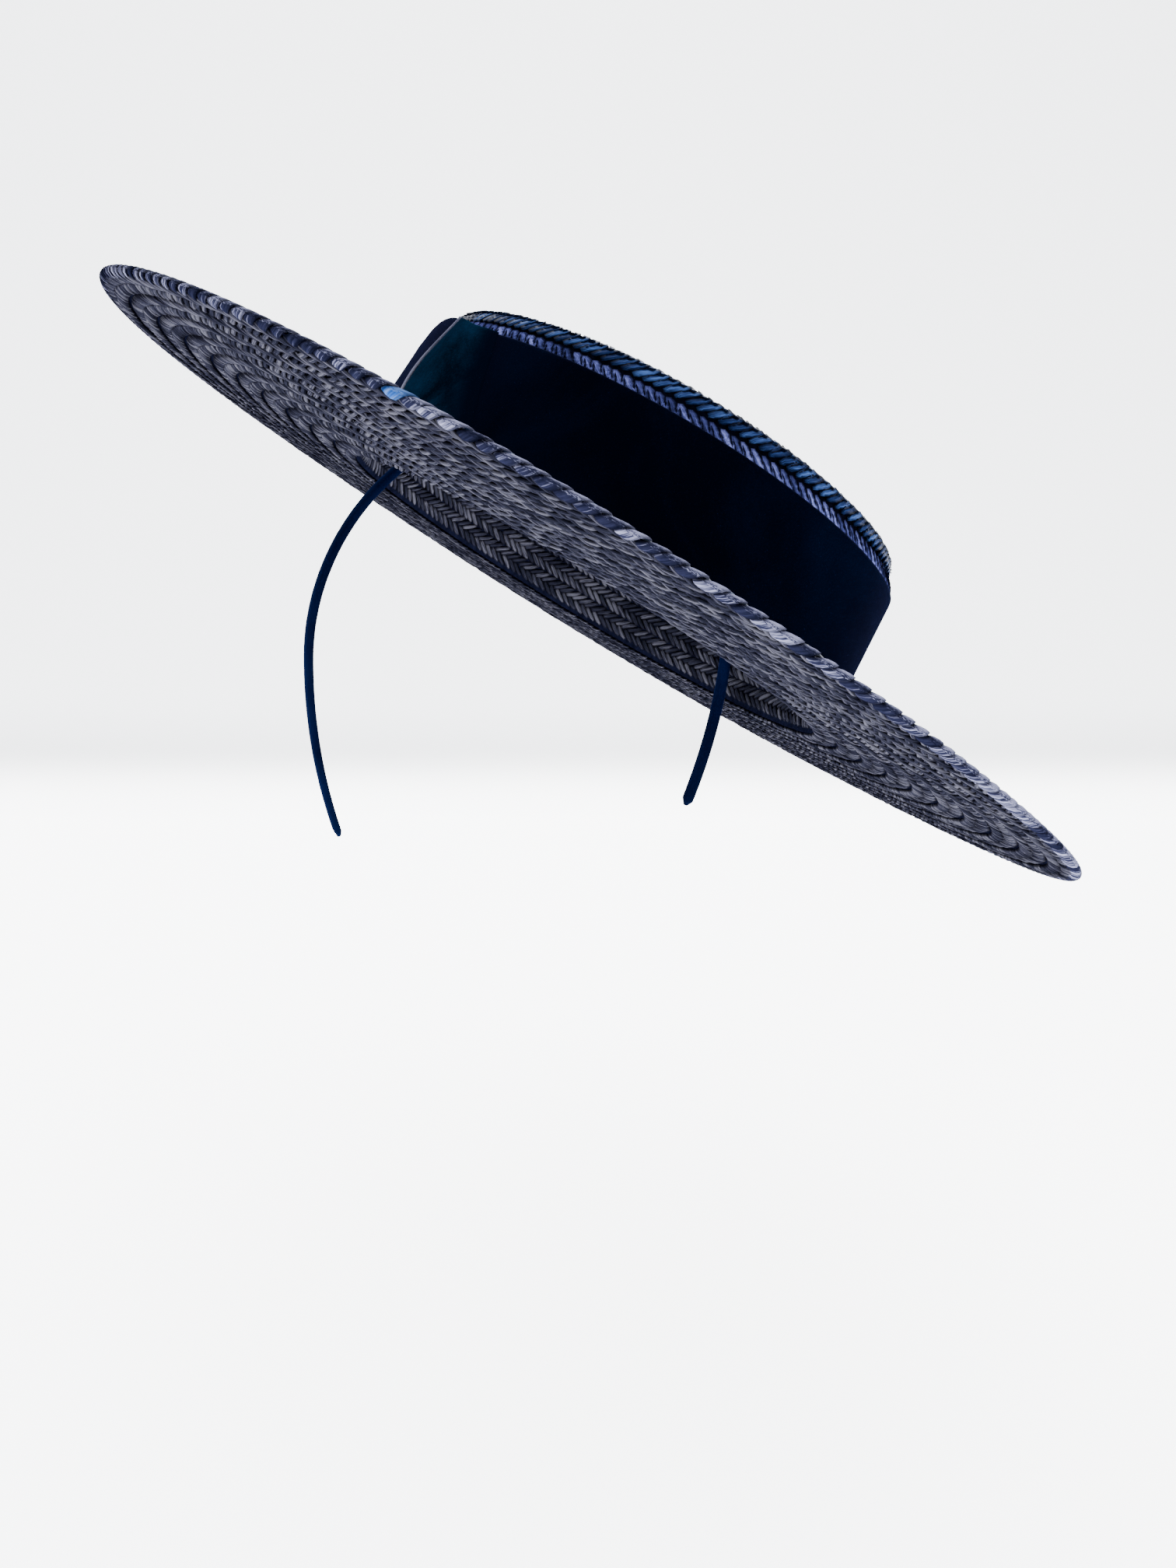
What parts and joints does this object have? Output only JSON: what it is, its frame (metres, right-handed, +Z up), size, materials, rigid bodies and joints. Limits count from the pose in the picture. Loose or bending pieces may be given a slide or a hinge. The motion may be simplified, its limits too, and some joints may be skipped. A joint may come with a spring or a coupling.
{
  "type": "straw boater hat on a hairband",
  "caption": "Tilted boater: flat wide brim and low oval crown of sewn straw plait, velvet ribbon round the crown, carried by a slim covered hairband.",
  "frame": {"origin": "on top of the head, at the middle of the hairband's inner face", "axes": "+Z up, +X the wearer's left, -Y the wearer's front"},
  "size_m": [0.2931, 0.3668, 0.1819],
  "materials": {
    "straw_brim": "sewn straw plait, silky navy",
    "straw_crown": "sewn straw plait, glossy blue",
    "velvet_ribbon": "velvet, near-black navy",
    "velvet_hairband": "velvet, dark navy"
  },
  "bodies": {
    "root": {"brim": "straw_brim", "crown_side": "straw_crown", "crown_tip": "straw_crown", "ribbon_band": "velvet_ribbon", "ribbon_end": "velvet_ribbon", "hairband": "velvet_hairband"}
  },
  "joints": []
}
